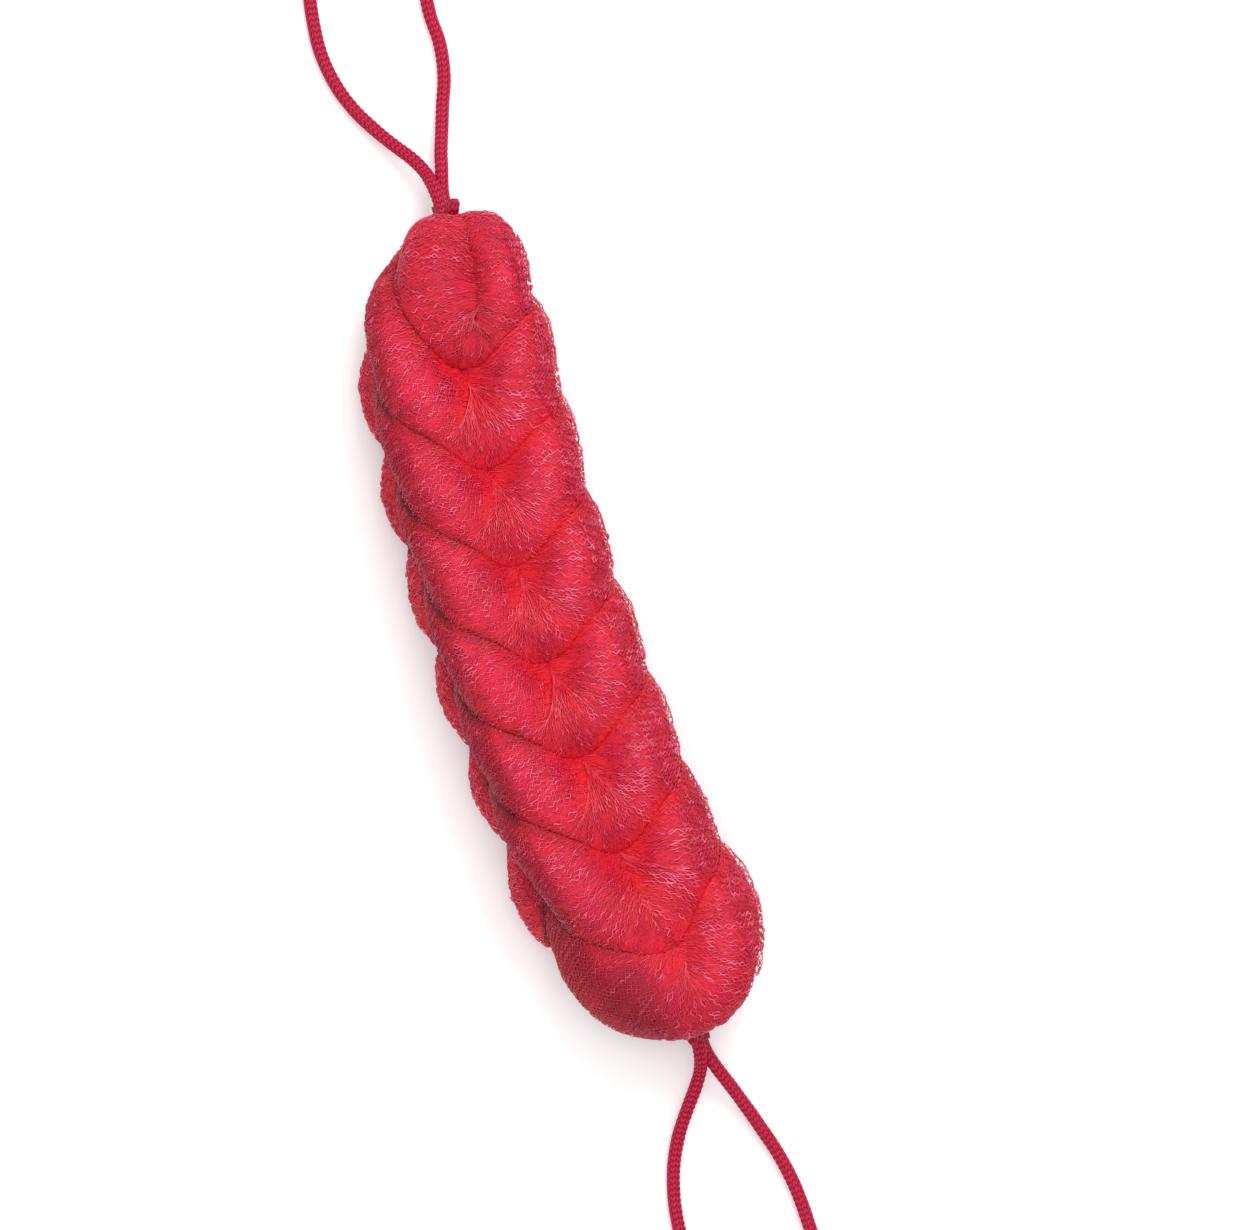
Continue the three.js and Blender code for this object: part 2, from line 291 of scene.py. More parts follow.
# ------------------------------------------------------------------ shader helpers
class Nodes:
    """A short way to wire a material's nodes."""

    def __init__(self, name):
        self.material = bpy.data.materials.new(name)
        self.material.use_nodes = True
        self.tree = self.material.node_tree
        self.shader = self.tree.nodes["Principled BSDF"]

    def node(self, kind, **settings):
        made = self.tree.nodes.new(kind)
        for key, value in settings.items():
            setattr(made, key, value)
        return made

    def link(self, source, target):
        self.tree.links.new(source, target)

    def attribute(self, name, output="Fac"):
        return self.node("ShaderNodeAttribute", attribute_name=name).outputs[output]

    def noise(self, vector, scale, detail=2.0, roughness=0.5):
        made = self.node("ShaderNodeTexNoise")
        made.inputs["Scale"].default_value = scale
        made.inputs["Detail"].default_value = detail
        made.inputs["Roughness"].default_value = roughness
        self.link(vector, made.inputs["Vector"])
        return made.outputs["Fac"]

    def stretched(self, vector, scale):
        made = self.node("ShaderNodeMapping")
        made.inputs["Scale"].default_value = scale
        self.link(vector, made.inputs["Vector"])
        return made.outputs["Vector"]

    def ramp(self, value, stops):
        made = self.node("ShaderNodeValToRGB")
        ramp = made.color_ramp
        while len(ramp.elements) < len(stops):
            ramp.elements.new(0.5)
        for element, (place, colour) in zip(ramp.elements, stops):
            element.position = place
            element.color = (*colour, 1.0)
        self.link(value, made.inputs["Fac"])
        return made.outputs["Color"]

    def remap(self, value, low, high, to_low, to_high):
        made = self.node("ShaderNodeMapRange")
        made.inputs["From Min"].default_value = low
        made.inputs["From Max"].default_value = high
        made.inputs["To Min"].default_value = to_low
        made.inputs["To Max"].default_value = to_high
        self.link(value, made.inputs["Value"])
        return made.outputs["Result"]

    def math(self, operation, first, second):
        made = self.node("ShaderNodeMath", operation=operation)
        for socket, value in zip(made.inputs, (first, second)):
            if isinstance(value, (int, float)):
                socket.default_value = value
            else:
                self.link(value, socket)
        return made.outputs["Value"]

    def mix(self, factor, first, second):
        made = self.node("ShaderNodeMix", data_type="RGBA")
        for name, value in (("Factor", factor), ("A", first), ("B", second)):
            self.wire_colour(made.inputs[name], value)
        return made.outputs["Result"]

    def wire_colour(self, socket, value):
        if isinstance(value, (int, float)):
            socket.default_value = value
        elif isinstance(value, tuple):
            socket.default_value = (*value, 1.0)
        else:
            self.link(value, socket)

    def bump(self, height, strength, distance):
        made = self.node("ShaderNodeBump")
        made.inputs["Strength"].default_value = strength
        made.inputs["Distance"].default_value = distance
        self.link(height, made.inputs["Height"])
        self.link(made.outputs["Normal"], self.shader.inputs["Normal"])


def colour(red, green, blue):
    """An sRGB colour, 0 to 255, as linear light."""
    channels = np.array([red, green, blue]) / 255
    linear = np.where(channels <= 0.04045, channels / 12.92, ((channels + 0.055) / 1.055) ** 2.4)
    return tuple(float(c) for c in linear)


# ------------------------------------------------------------------ materials
def netting_ground():
    """The gathered layers under the outermost strands: fine folds that run round the tube."""
    n = Nodes("netting_layers")
    tube = n.attribute("tube", "Vector")
    folds = n.noise(n.stretched(tube, (1.9, 0.34, 0.34)), 1.0, 3.0, 0.6)
    weave = n.noise(n.stretched(tube, (1.1, 0.6, 0.6)), 1.0, 2.0, 0.5)
    patches = n.noise(tube, 0.07, 2.0)
    base = n.ramp(folds, [
        (0.30, colour(120, 8, 24)),
        (0.42, colour(176, 14, 34)),
        (0.60, colour(206, 24, 48)),
    ])
    tinted = n.mix(n.remap(patches, 0.35, 0.65, 0.0, 0.4), base, colour(196, 18, 62))
    # Painted light: a painted highlight on the arms' tops, a painted red bounce in the hollows, and
    # painted shade in the crevice, on the seams and flanks, and under the open net.
    lit = n.mix(n.math("MULTIPLY", n.attribute("crest"), 0.3), tinted, colour(222, 38, 66))
    with_painted_bounce = n.mix(n.attribute("hollow"), lit, colour(212, 16, 36))
    shaded = n.mix(n.attribute("crease"), with_painted_bounce, colour(104, 8, 26))
    n.link(shaded, n.shader.inputs["Base Color"])
    n.link(n.remap(weave, 0.3, 0.7, 0.6, 0.85), n.shader.inputs["Roughness"])
    n.shader.inputs["Specular IOR Level"].default_value = 0.3
    n.bump(n.math("ADD", folds, n.math("MULTIPLY", weave, 0.6)), 0.9, 0.0006)
    return n.material


def netting_strand():
    """The fine shiny strands of the net."""
    n = Nodes("netting_strands")
    tube = n.attribute("tube", "Vector")
    along = n.noise(n.stretched(tube, (0.9, 0.45, 0.45)), 1.0, 2.0, 0.6)
    patches = n.noise(tube, 0.06, 2.0)
    own_tone = n.math("MULTIPLY", n.attribute("tone"), 0.65)
    mottled = n.math("ADD", n.math("MULTIPLY", along, 0.35), own_tone)
    # The painted highlight mark raises the tone on the arms' tops, towards the ramp's lightest stop,
    # a painted glint; elsewhere the random tone reaches it on some strands.
    shade = n.math("ADD", mottled, n.math("MULTIPLY", n.attribute("crest"), 0.11))
    base = n.ramp(shade, [
        (0.25, colour(150, 12, 34)),
        (0.48, colour(200, 24, 50)),
        (0.64, colour(220, 46, 84)),
        (0.80, colour(244, 128, 160)),
    ])
    tinted = n.mix(n.remap(patches, 0.38, 0.62, 0.0, 0.4), base, colour(212, 32, 88))
    # Painted light: a painted highlight on the arms' tops, a painted red bounce in the hollows, and
    # painted shade in the crevice and on the seams and flanks.
    lit = n.mix(n.math("MULTIPLY", n.attribute("crest"), 0.24), tinted, colour(236, 66, 98))
    with_painted_bounce = n.mix(n.math("MULTIPLY", n.attribute("hollow"), 0.7), lit, colour(214, 17, 38))
    shaded = n.mix(n.attribute("crease"), with_painted_bounce, colour(112, 9, 34))
    n.link(shaded, n.shader.inputs["Base Color"])
    n.link(n.remap(along, 0.3, 0.7, 0.25, 0.45), n.shader.inputs["Roughness"])
    n.shader.inputs["Specular IOR Level"].default_value = 0.6
    n.bump(n.noise(n.stretched(tube, (9.0, 3.0, 3.0)), 1.0), 0.4, 0.0002)
    return n.material


def knitted_cord():
    """Knitted polyester cord: bright stitches, with painted shade in the gaps between them."""
    n = Nodes("knitted_cord")
    tube = n.attribute("tube", "Vector")
    relief = n.attribute("relief")
    fibres = n.noise(n.stretched(tube, (2.2, 5.5, 5.5)), 1.0, 2.0, 0.6)
    # The knit relief's low parts, the gaps between the stitches, get painted shade.
    base = n.ramp(relief, [
        (0.10, colour(52, 3, 16)),
        (0.42, colour(140, 5, 40)),
        (0.75, colour(196, 12, 62)),
        (1.00, colour(226, 44, 100)),
    ])
    varied = n.mix(n.remap(fibres, 0.3, 0.7, 0.0, 0.3), base, colour(150, 8, 46))
    n.link(varied, n.shader.inputs["Base Color"])
    n.link(n.remap(fibres, 0.3, 0.7, 0.4, 0.6), n.shader.inputs["Roughness"])
    n.shader.inputs["Specular IOR Level"].default_value = 0.2
    n.bump(fibres, 0.5, 0.0002)
    return n.material


def waxed_thread():
    n = Nodes("waxed_thread")
    tube = n.attribute("tube", "Vector")
    twist = n.noise(n.stretched(tube, (3.0, 3.0, 3.0)), 1.0, 2.0)
    base = n.ramp(twist, [(0.3, colour(112, 12, 30)), (0.7, colour(168, 26, 50))])
    n.link(base, n.shader.inputs["Base Color"])
    n.shader.inputs["Roughness"].default_value = 0.45
    n.bump(twist, 0.5, 0.0002)
    return n.material


def pale_floor():
    n = Nodes("pale_floor")
    place = n.node("ShaderNodeTexCoord").outputs["Object"]
    grain = n.noise(place, 6.0, 3.0)
    base = n.ramp(grain, [(0.3, colour(247, 247, 247)), (0.7, colour(252, 252, 252))])
    n.link(base, n.shader.inputs["Base Color"])
    n.shader.inputs["Roughness"].default_value = 0.7
    return n.material


# ------------------------------------------------------------------ the body's axis, from the frame
def hinge_places():
    """The hinge between stitch k and k + 1, for each k, in millimetres."""
    places = {}
    for joint in frame["joints"]:
        pair = sorted(joint[end] for end in ("parent", "child"))
        if all(name.startswith("stitch_") for name in pair):
            places[int(pair[0][-1])] = np.array(joint["pos_m"]) / MM
    return np.array([places[k] for k in sorted(places)])


class Axis:
    def __init__(self):
        hinges = hinge_places()
        self.sideways = np.polyfit(hinges[:, 0], hinges[:, 1], 2)
        self.height = np.polyfit(hinges[:, 0], hinges[:, 2], 1)
        self.pitch = (hinges[-1, 0] - hinges[0, 0]) / (len(hinges) - 1)
        self.first = hinges[0, 0] - self.pitch / 2

    def centre(self, number):
        return self.first + (number - 1) * self.pitch

    def place(self, local):
        """Along, left and up from the axis, as a point in the row frame."""
        a, b, c = local[:, 0], local[:, 1], local[:, 2]
        slope = np.polyval(np.polyder(self.sideways), a)
        run = np.sqrt(1 + slope ** 2)
        x = a - b * slope / run
        y = np.polyval(self.sideways, a) + b / run
        z = np.polyval(self.height, a) + c
        return np.stack([x, y, z], axis=1)


# ------------------------------------------------------------------ the chain stitches
# Along, left and up from the stitch's centre on the axis, and the netting tube's radius there.
# The path starts under the next stitch, comes down the left arm of the V, turns round its tip,
# goes up the right arm, dives under the body and crosses to the bump at the left of the back.
STITCH_PATH = [
    (43, 15.5, -8, 8.5), (42, 19.2, -1.5, 9.1), (37.5, 21, 5.6, 9.8), (30.5, 21.4, 11.4, 10.3),
    (21.5, 20.2, 15.2, 10.5), (12, 18, 17.2, 10.9), (3.5, 15.4, 18.3, 11.4), (-4.5, 12.5, 17, 11.9),
    (-11, 10, 13.8, 12.5),
    (-15.2, 2.5, 11.3, 12.8), (-15.8, -6, 10.5, 13.0), (-13.6, -13.5, 10.6, 13.4),
    (-7.5, -19.2, 11.4, 13.5), (0, -22.4, 12.2, 13.0), (7.5, -24.4, 11.2, 11.8),
    (14, -25.5, 7.6, 10.8), (20, -24.8, 2, 10.8), (25, -20, -5, 11.5), (26, -13, -11, 12.0),
    (25.5, -7.5, -15, 12.3), (24, -1, -16, 12.5), (20.5, 10, -14.8, 12.8), (15, 22, -12.5, 13.0),
    (6.5, 25.2, -11.5, 13.0), (-2.5, 23.8, -12.5, 12.4), (-9.5, 17, -14.5, 11.0),
]
STITCH_WEB = [
    (24, 12, 1, 11.0), (14, 12, 4, 11.5), (4, 10, 5, 12.0), (-4, 5, 5, 12.0), (-7, -3, 5, 12.0),
    (-2, -7, 4, 12.0), (5, -7, 1.5, 12.0), (12, -6, -1, 12.0),
]
TIP_KEYS = slice(8, 12)               # the path's points round the tip of the V,
ARM_KEYS = slice(0, 5)                # of the left arm's hidden end,
BUMP_KEYS = slice(-3, None)           # and of the bump's lower end
# The second stitch's tip is a longer and narrower tongue.
TONGUE = [(-12, 8.5, 15.5, 12.0), (-19, 3, 15, 11.8), (-21.5, -3.5, 14, 11.6), (-15, -11, 12.5, 12.4)]
# The last stitch ends the body: its arms lie side by side and go down over the end.
TOP_PATH = [
    (10, 6, -10, 10.5), (16, 2, -5, 10.5), (18.5, -3, 2, 11.0), (13, -1, 9.5, 12.8),
    (5, 1.4, 13.5, 14.2), (-4, 1.8, 14.3, 14.4), (-11, 0.6, 12.8, 13.8), (-16, -5, 10.6, 12.6),
    (-16, -12.5, 9.8, 11.6), (-10, -19.2, 11.4, 10.8), (-2, -22.8, 13, 10.0), (6, -23.3, 12.2, 9.5),
    (14, -21.5, 8.5, 9.2), (19, -17.8, 0, 9.6), (16, -12, -8, 11.0), (12, -8, -14, 11.5),
    (8, -3, -15.8, 12.0), (7.5, 3.5, -14.8, 12.2), (5.5, 11, -11.5, 12.3), (0, 15.6, -10.5, 12.5),
    (-6, 16.6, -11.5, 12.0), (-13, 14, -14.5, 11.0),
]
TOP_WEB = [(-13, -9, 6, 11.0), (-9, -10, 5.5, 11.5), (-2, -11, 2, 12.0), (6, -11, -2, 12.0)]
# The first stitch is the body's round lower end: its arms make one broad turn.
BOTTOM_PATH = [
    (34, 14, -8, 9.5), (32, 17, -4, 10.0), (27, 17.5, 1.5, 11.0), (19.5, 16, 6.2, 12.0),
    (11, 13.5, 9, 13.0), (2, 10.5, 10.6, 13.8), (-6, 6.5, 10.6, 14.2), (-12.5, 1, 9.2, 14.0),
    (-14.5, -6.5, 8.2, 13.8), (-11, -14, 9, 13.8), (-4, -20.5, 10, 13.6), (4.5, -24.5, 10, 13.2),
    (13, -26.5, 8, 12.8), (21, -25.5, 2.5, 12.4), (26.5, -20, -4, 12.0), (26, -15, -10, 12.0),
    (18, -14, -14, 12.5), (7, -14, -14.5, 12.5), (-4, -11, -14.5, 12.5), (-11, -2, -14.5, 12.0),
    (-8, 9, -14.5, 12.5), (0, 15, -14.0, 12.5), (8, 16, -15.5, 11.5),
]
BOTTOM_WEB = [
    (18, 18, -1, 13.0), (8, 18.5, 0, 14.0), (-2, 15.5, 0, 14.2), (-9, 8, 0, 14.0), (-10, -2, 1, 13.0),
    (-4, -7, 3, 12.5), (4, -8, 0, 12.5),
]
REFERENCE_WIDTH = 70.0                # of the body, where the paths hold as they are
SURFACE_STEP = 1.1                    # between the surface's rows along the tube
SIDES = 64                            # rays round the tube
CAP_ROWS = 6                          # rows that close each of the tube's ends
MEAN_RADIUS = 13.0                    # the tube's, for its materials
LINE_STEP = 3                         # every third row stands for the line in the distances
OWN_BLEND = 4.5                       # how softly the parts of one stitch run into each other
EDGE_BLEND = 5.0                      # and how softly two stitches do, where they meet
OWN_SLACK = 0.12                      # how much nearer another part may be before a ray stops
FIRST_REACH = 0.12                    # of a ray that stops at once, over the tube's radius
REACH_LIMIT = 1.7                     # the most that a ray may grow, over the tube's radius
GROWTH_STEPS = 23
HALVINGS = 4                          # that narrow down where a ray stops
FLOOR = 0.25                          # the lowest that the netting goes
SKIN_GAP = 0.2                        # between that and the skin under the strands
STRAND_GAP = 0.3                      # and between that and a strand's centre


class Strand:
    """One stitch's stretch of the netting tube."""

    def __init__(self, number, axis):
        low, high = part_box(f"mesh_stitch_{number}")
        self.number = number
        self.axis = axis
        self.size = (high.y - low.y) / MM / REFERENCE_WIDTH
        ends = {1: (BOTTOM_PATH, BOTTOM_WEB), STITCHES: (TOP_PATH, TOP_WEB)}
        path, web = ends.get(number, (STITCH_PATH, STITCH_WEB))
        path, web = np.array(path, float), np.array(web, float)
        if number == 2:
            path[TIP_KEYS] = TONGUE
            path[BUMP_KEYS, 0] -= 5
        if number == STITCHES - 1:    # the last stitch is narrow, so this arm tucks in under it
            path[ARM_KEYS, 0] -= np.linspace(6, 2, 5)
            path[ARM_KEYS, 1] -= np.linspace(5, 1, 5)
        keys = np.vstack([path, web])
        keys[:, 1:] *= self.size
        keys[:, 0] += axis.centre(number)
        keys[:, :3] = axis.place(keys[:, :3])
        web = spline(keys[len(path):], SURFACE_STEP * LINE_STEP)
        line = spline(keys[:len(path)], SURFACE_STEP)
        self.line = line[:, :3]
        self.radius = line[:, 3]
        self.along = arc_lengths(self.line)
        self.tangent, self.side, self.across = carried_frames(self.line, (0, 0, 1))
        coarse = np.vstack([line[::LINE_STEP], web]).astype(np.float32)
        self.coarse, self.coarse_radius = coarse[:, :3], coarse[:, 3]
        self.own_parts = len(coarse) - len(web)
        straight = math.sqrt(2 * math.pi / OWN_BLEND) * (1 + 0.375 / OWN_BLEND)
        self.weight = SURFACE_STEP * LINE_STEP / self.coarse_radius / straight


def rays_of(strand):
    """Where the surface is grown from: origins, directions, full radii and places along."""
    turn = np.arange(SIDES) / SIDES * 2 * math.pi
    out = ring_directions(turn, strand.side, strand.across)
    tilts = np.radians(np.linspace(82, 14, CAP_ROWS))
    last = len(strand.line) - 1
    rows = [(0, -math.sin(tilt), math.cos(tilt)) for tilt in tilts]
    rows += [(i, 0.0, 1.0) for i in range(len(strand.line))]
    rows += [(last, math.sin(tilt), math.cos(tilt)) for tilt in tilts[::-1]]
    index = np.array([r[0] for r in rows])
    forward = np.array([r[1] for r in rows])[:, None, None]
    outward = np.array([r[2] for r in rows])[:, None, None]
    direction = outward * out[index] + forward * strand.tangent[index][:, None, :]
    radius = strand.radius[index]
    along = strand.along[index] + np.arcsin(forward[:, 0, 0]) * radius
    return strand.line[index], direction, radius, along


def nearness(points, strand):
    """Distance to each part of the strand's line, over the radius there."""
    line = strand.coarse
    squared = (points ** 2).sum(1)[:, None] + (line ** 2).sum(1)[None, :] - 2 * points @ line.T
    return np.sqrt(np.maximum(squared, 1e-6)) / strand.coarse_radius[None, :]


def softened(near, strand):
    """One value from the nearness of a strand's parts: 1 on a straight tube's surface, and less
    where two parts of the tube add up."""
    return 1 - np.log((np.exp(OWN_BLEND * (1 - near)) * strand.weight[None, :]).sum(1)) / OWN_BLEND


def grow(strand, neighbours):
    """How far each ray goes before it leaves the soft union of its strand's parts, meets another
    part of it, or meets a neighbour. It also gives the room left before a neighbour there."""
    origin, direction, radius, along = rays_of(strand)
    start = np.repeat(origin, SIDES, axis=0).astype(np.float32)
    aim = direction.reshape(-1, 3).astype(np.float32)
    full = np.repeat(radius, SIDES).astype(np.float32)

    def measure(share):
        points = start + aim * (share * full)[:, None]
        near = nearness(points, strand)
        own = softened(near, strand)
        others = np.min([softened(nearness(points, other), other) for other in neighbours], axis=0)
        lift = np.log1p(np.exp(-EDGE_BLEND * np.abs(others - own))) / EDGE_BLEND
        clear = near[:, :strand.own_parts].min(1) > share - OWN_SLACK
        return clear & (own < others) & (own - lift < 1), others - own

    reach = np.full(len(start), FIRST_REACH, np.float32)
    growing = np.ones(len(start), bool)
    steps = np.linspace(0.2, REACH_LIMIT, GROWTH_STEPS)
    for share in steps:
        inside, _ = measure(np.full(len(start), share, np.float32))
        growing &= inside
        reach[growing] = share
    low = reach
    high = reach + (steps[1] - steps[0])
    for _ in range(HALVINGS):
        middle = (low + high) / 2
        inside, _ = measure(middle)
        low = np.where(inside, middle, low)
        high = np.where(inside, high, middle)
    _, room = measure(low)
    shape = (len(origin), SIDES)
    return origin, direction, radius, along, low.reshape(shape), room.reshape(shape)


def smoothed(grid, times):
    for _ in range(times):
        tall = np.vstack([grid[:1], grid, grid[-1:]])
        round_ring = np.roll(grid, 1, axis=1) + np.roll(grid, -1, axis=1)
        grid = 0.4 * grid + 0.15 * (tall[2:] + tall[:-2] + round_ring)
    return grid


FREE_ROOM = 0.10                      # with this much room before a neighbour, the skin is free
PRESSED_GIVE = 0.3                    # of its unevenness that a pressed skin keeps
LUMP_HEIGHT = 0.5
PLEAT_HEIGHT = 0.3
CONTACT_RISE = 0.3                    # so that no light falls in between two stitches
LOOSE_DIP = 0.9                       # under the loose net at the right, which stands off it


class Skin:
    """The grown surface of one strand, as a grid of rays that can be read between its rows.

    Its marks, from 0 to 1, say where the skin is free of its neighbours, lies in a hollow, has its
    net open or loose, and where it gets a painted highlight or painted shade. The hollows get a
    painted red bounce of light."""

    def __init__(self, strand, neighbours, rng):
        self.origin, self.direction, self.radius, self.along, share, room = grow(strand, neighbours)
        rows = len(self.origin)
        share, room = np.maximum(smoothed(share, 3), share), smoothed(room, 1)
        self.reach = share * self.radius[:, None]
        self.free = between(room, 0, FREE_ROOM)
        give = PRESSED_GIVE + (1 - PRESSED_GIVE) * self.free
        lumps = ring_noise(rng, rows, SIDES, rows // 12, 6)
        pleats = ring_noise(rng, rows, SIDES, int(rows * 0.45), 5)
        self.reach += give * LUMP_HEIGHT * lumps
        # The hollows, where two parts meet: the materials give them a more saturated red, a painted
        # bounce of red light.
        self.hollow = np.maximum(between(room, 0.45, 0), between(share, 0.98, 1.14))
        points = self.points()
        left = points[:, :, 1] - np.polyval(strand.axis.sideways, points[:, :, 0])
        up = points[:, :, 2] - np.polyval(strand.axis.height, points[:, :, 0])
        ahead = points[:, :, 0] - strand.axis.centre(strand.number)
        patch = ring_noise(rng, rows, SIDES, rows // 14, 5)
        self.open = self.open_net(strand.number, left, up, ahead, patch)
        self.reach += give * (1 - 0.8 * self.open) * PLEAT_HEIGHT * pleats
        self.loose = np.clip((-left - 24) / 7 + 0.5 * patch, 0, 1)
        self.reach += CONTACT_RISE * (1 - self.free) - LOOSE_DIP * self.loose
        self.crest = self.painted_highlight_mark(left, up)
        self.crease = self.painted_shade_mark(strand.number, left, up, room)

    def painted_highlight_mark(self, left, up):
        """A painted highlight: lighter colour on the tops of the two arms, where they face up, and on
        the loose net at the right.
        """
        ridge = np.exp(-((1 - self.direction[:, :, 2]) / 0.14) ** 2)
        tops = ridge * between(np.abs(left), 4, 9) * between(up, 16, 22) * (1 - self.hollow)
        return np.maximum(tops, 0.6 * self.loose * between(up, 0, 10))

    def painted_shade_mark(self, number, left, up, room):
        """Painted shade: darker colour in the crevice at the left, on the left flanks and on the
        seams beside them.
        """
        crevice = between(room, 0.286, 0.066) * between(left, 21, 26)
        seam = between(room, 0.33, 0.03) * between(left, 3, 13)
        faces_left = np.clip(self.direction[:, :, 1] * 1.3 - 0.3, 0, 1)
        flank = faces_left * between(left, 8, 16) * between(up, -4, 2)
        if number == 1:               # the lower end's left side, where the net is thin, gets painted shade too
            flank = np.maximum(flank, 0.8 * self.open)
        if number == STITCHES:        # painted shade in the groove between the last stitch's two arms
            flank = np.maximum(flank, 0.75 * self.hollow)
        return np.maximum(crevice, np.maximum(0.5 * seam, 0.45 * flank))

    def open_net(self, number, left, up, ahead, patch):
        """Where the net's cells stand open: the lower left flank, and a few small patches."""
        flank = between(left - up * 0.25, 13, 19) * between(up, -3, 1)
        share = {1: 1.0, 2: 0.9, 3: 0.8}.get(number, 0.42)
        low_end = between(left, 2, 10) * between(ahead, 8, 0) * (number == 1)
        return np.clip(np.maximum(flank * share, low_end) + 0.35 * patch, 0, 1)

    def points(self):
        return self.origin[:, None, :] + self.direction * self.reach[:, :, None]


def read_grid(row, column, grid):
    """A grid's values between its rows and columns, the columns closing into a ring."""
    row = np.clip(row, 0, len(grid) - 1.001)
    r0 = np.floor(row).astype(int)
    c0 = np.floor(column).astype(int) % SIDES
    c1 = (c0 + 1) % SIDES
    fr = row - r0
    fc = column - np.floor(column)
    if grid.ndim == 3:
        fr, fc = fr[..., None], fc[..., None]
    low = grid[r0, c0] * (1 - fc) + grid[r0, c1] * fc
    high = grid[r0 + 1, c0] * (1 - fc) + grid[r0 + 1, c1] * fc
    return low * (1 - fr) + high * fr


def add_skin(shell, skin):
    points = skin.points()
    poles = np.array([points[0].mean(0), points[-1].mean(0)])
    everything = np.vstack([points.reshape(-1, 3), poles])
    everything[:, 2] = soft_floor(everything[:, 2], FLOOR + SKIN_GAP)
    places = with_first_and_last(seamless_places(skin.along, SIDES, MEAN_RADIUS))
    # Painted shade for the skin: that of its mark, and more where the net stands open.
    dark = np.maximum(skin.crease, 0.6 * skin.open)
    shell.add(
        everything, tube_faces(len(points), SIDES), tube=places, tone=np.zeros(len(everything)),
        crease=with_poles(dark), hollow=with_poles(skin.hollow), crest=with_poles(skin.crest))


def with_poles(grid):
    return np.concatenate([grid.ravel(), [grid[0].mean(), grid[-1].mean()]])


def soft_floor(z, floor, reach=2.0):
    """Heights below floor are pressed flat onto it, with a rounded edge of that reach."""
    above = z - floor
    pressed = np.where(above > reach, above, reach * np.exp(np.minimum(above, reach) / reach - 1))
    return floor + pressed


SHOWN = 0.02                          # how free the skin has to be for a strand to show
STRAY_PITCH = 0.62                    # strands of this pitch stray by the widths in strand_rows
STRAND_FLATNESS = 1.2                 # a strand's width over its height


class Layer:
    """One layer of the net: strands that zigzag round the tube and meet their neighbours."""

    def __init__(self, pitch, waves, steps, swing, lift, fuzz, tufts, thick):
        self.pitch = pitch            # between neighbouring strands along the tube
        self.waves = waves            # zigzags round the tube
        self.steps = steps            # points round the tube
        self.swing = swing            # a zigzag's width, over the pitch
        self.lift = lift              # above the skin
        self.fuzz = fuzz              # how far tufts of strands stand out
        self.tufts = tufts            # tufts along the tube, over the strands
        self.thick = thick            # half of a strand's thickness


DENSE = Layer(pitch=0.66, waves=26, steps=120, swing=1.5, lift=0.25, fuzz=0.45, tufts=0.6, thick=0.19)
OPEN = Layer(pitch=0.95, waves=46, steps=200, swing=1.0, lift=0.4, fuzz=0.14, tufts=0.8, thick=0.17)
LOOSE = Layer(pitch=1.2, waves=44, steps=200, swing=1.0, lift=1.7, fuzz=0.5, tufts=0.6, thick=0.16)


def strand_rows(skin, rng, layer, count, turn):
    """Which of the skin's rows each strand runs over at each turn: it zigzags, sags and strays."""
    steps = len(turn)
    scale = STRAY_PITCH / layer.pitch
    sag = ring_noise(rng, count, steps, max(4, count // 14), 6) * scale
    drift = ring_noise(rng, count, steps, max(4, count // 20), 5)
    stray = ring_noise(rng, count, steps, count, 23) * scale
    phase = np.where(np.arange(count) % 2 == 0, 0.0, 0.5)[:, None]
    wave = np.abs(((turn[None, :] * layer.waves + drift * 1.6 + phase) % 1) * 2 - 1) - 0.5
    spacing = (len(skin.origin) - 1) / count
    bunch = rng.uniform(-0.8, 0.8, (count, 1)) * scale
    place = np.arange(count)[:, None] + 0.5 + bunch + wave * layer.swing + sag * 2.4 + stray
    return place * spacing


def strand_corners(centre, direction, thick):
    """The corners of each strand's section, a triangle that lies flat with one corner up."""
    ahead = unit(np.roll(centre, -1, axis=1) - np.roll(centre, 1, axis=1))
    beside = unit(np.cross(ahead, direction))
    above = np.cross(beside, ahead)
    corners = []
    for angle in (math.pi / 2, math.pi * 7 / 6, math.pi * 11 / 6):
        aside = beside * math.cos(angle) * STRAND_FLATNESS
        corners.append(centre + (aside + above * math.sin(angle)) * thick)
    return np.stack(corners, axis=2)


